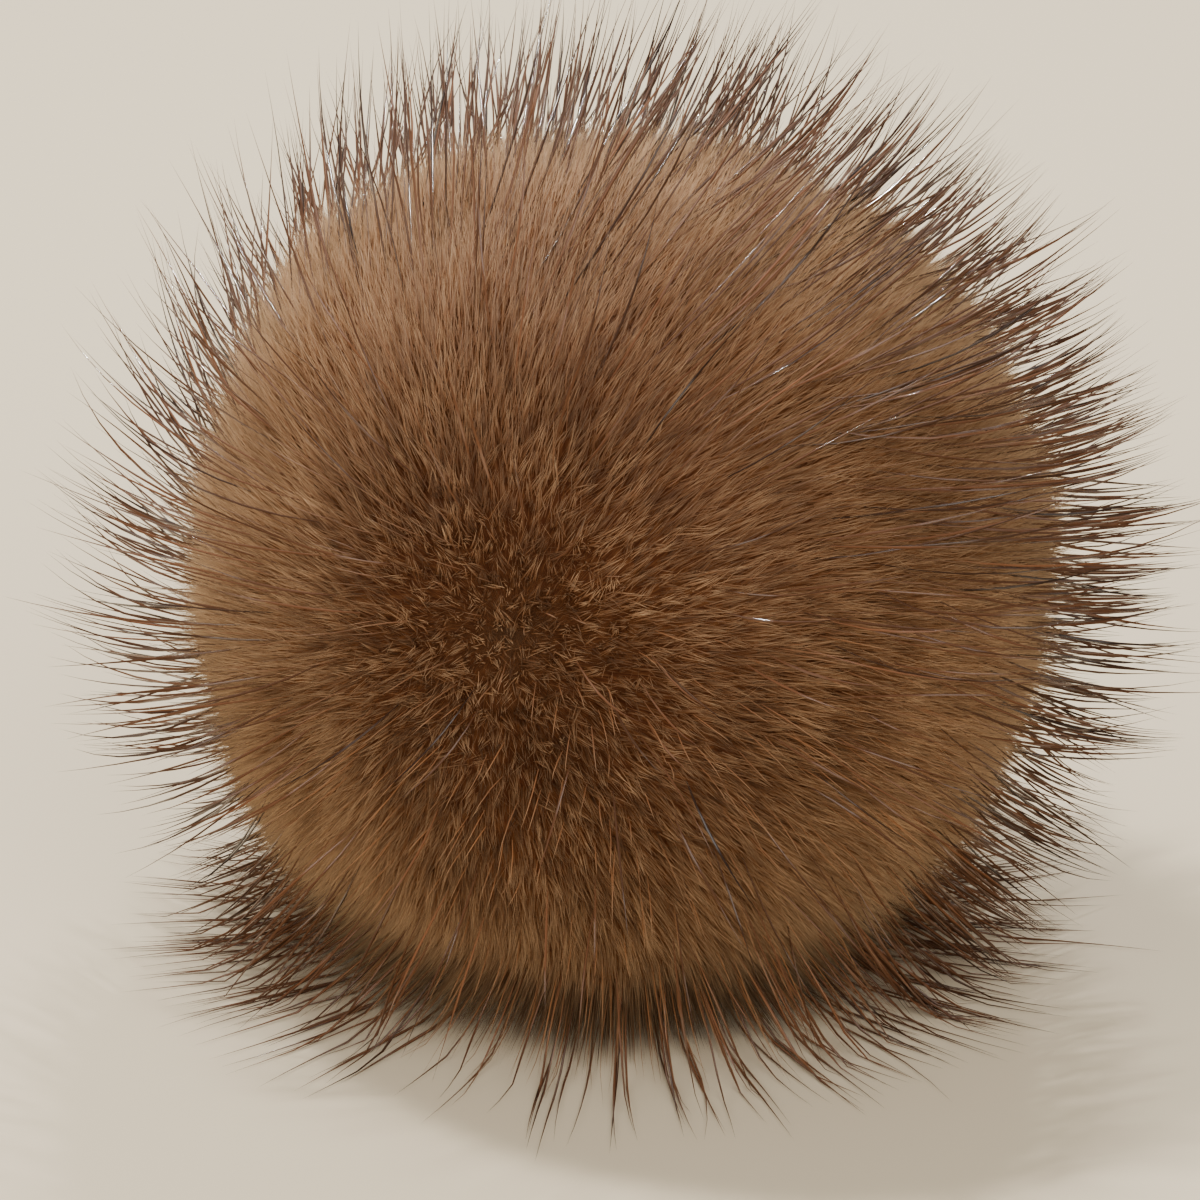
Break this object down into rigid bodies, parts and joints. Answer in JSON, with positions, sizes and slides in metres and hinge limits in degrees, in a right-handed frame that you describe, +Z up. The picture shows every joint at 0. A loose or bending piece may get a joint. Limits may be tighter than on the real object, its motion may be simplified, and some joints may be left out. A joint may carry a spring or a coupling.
{
  "type": "fur pom pom",
  "caption": "Round fur pom pom of dense soft underfur with long glossy guard hairs standing out all round, resting on a small flat spot.",
  "frame": {"origin": "on the surface that the ball rests on, in the middle of its footprint", "axes": "+Z up, out of the flat spot through the ball; -Y towards the viewer's side, where the hairs point at the viewer a little left of the middle; +X to the viewer's right"},
  "size_m": [0.0572, 0.0566, 0.0484],
  "materials": {
    "fur": "soft mid-brown fur with darker glossy guard hairs"
  },
  "bodies": {
    "root": {"fur_ball": "fur"}
  },
  "joints": []
}
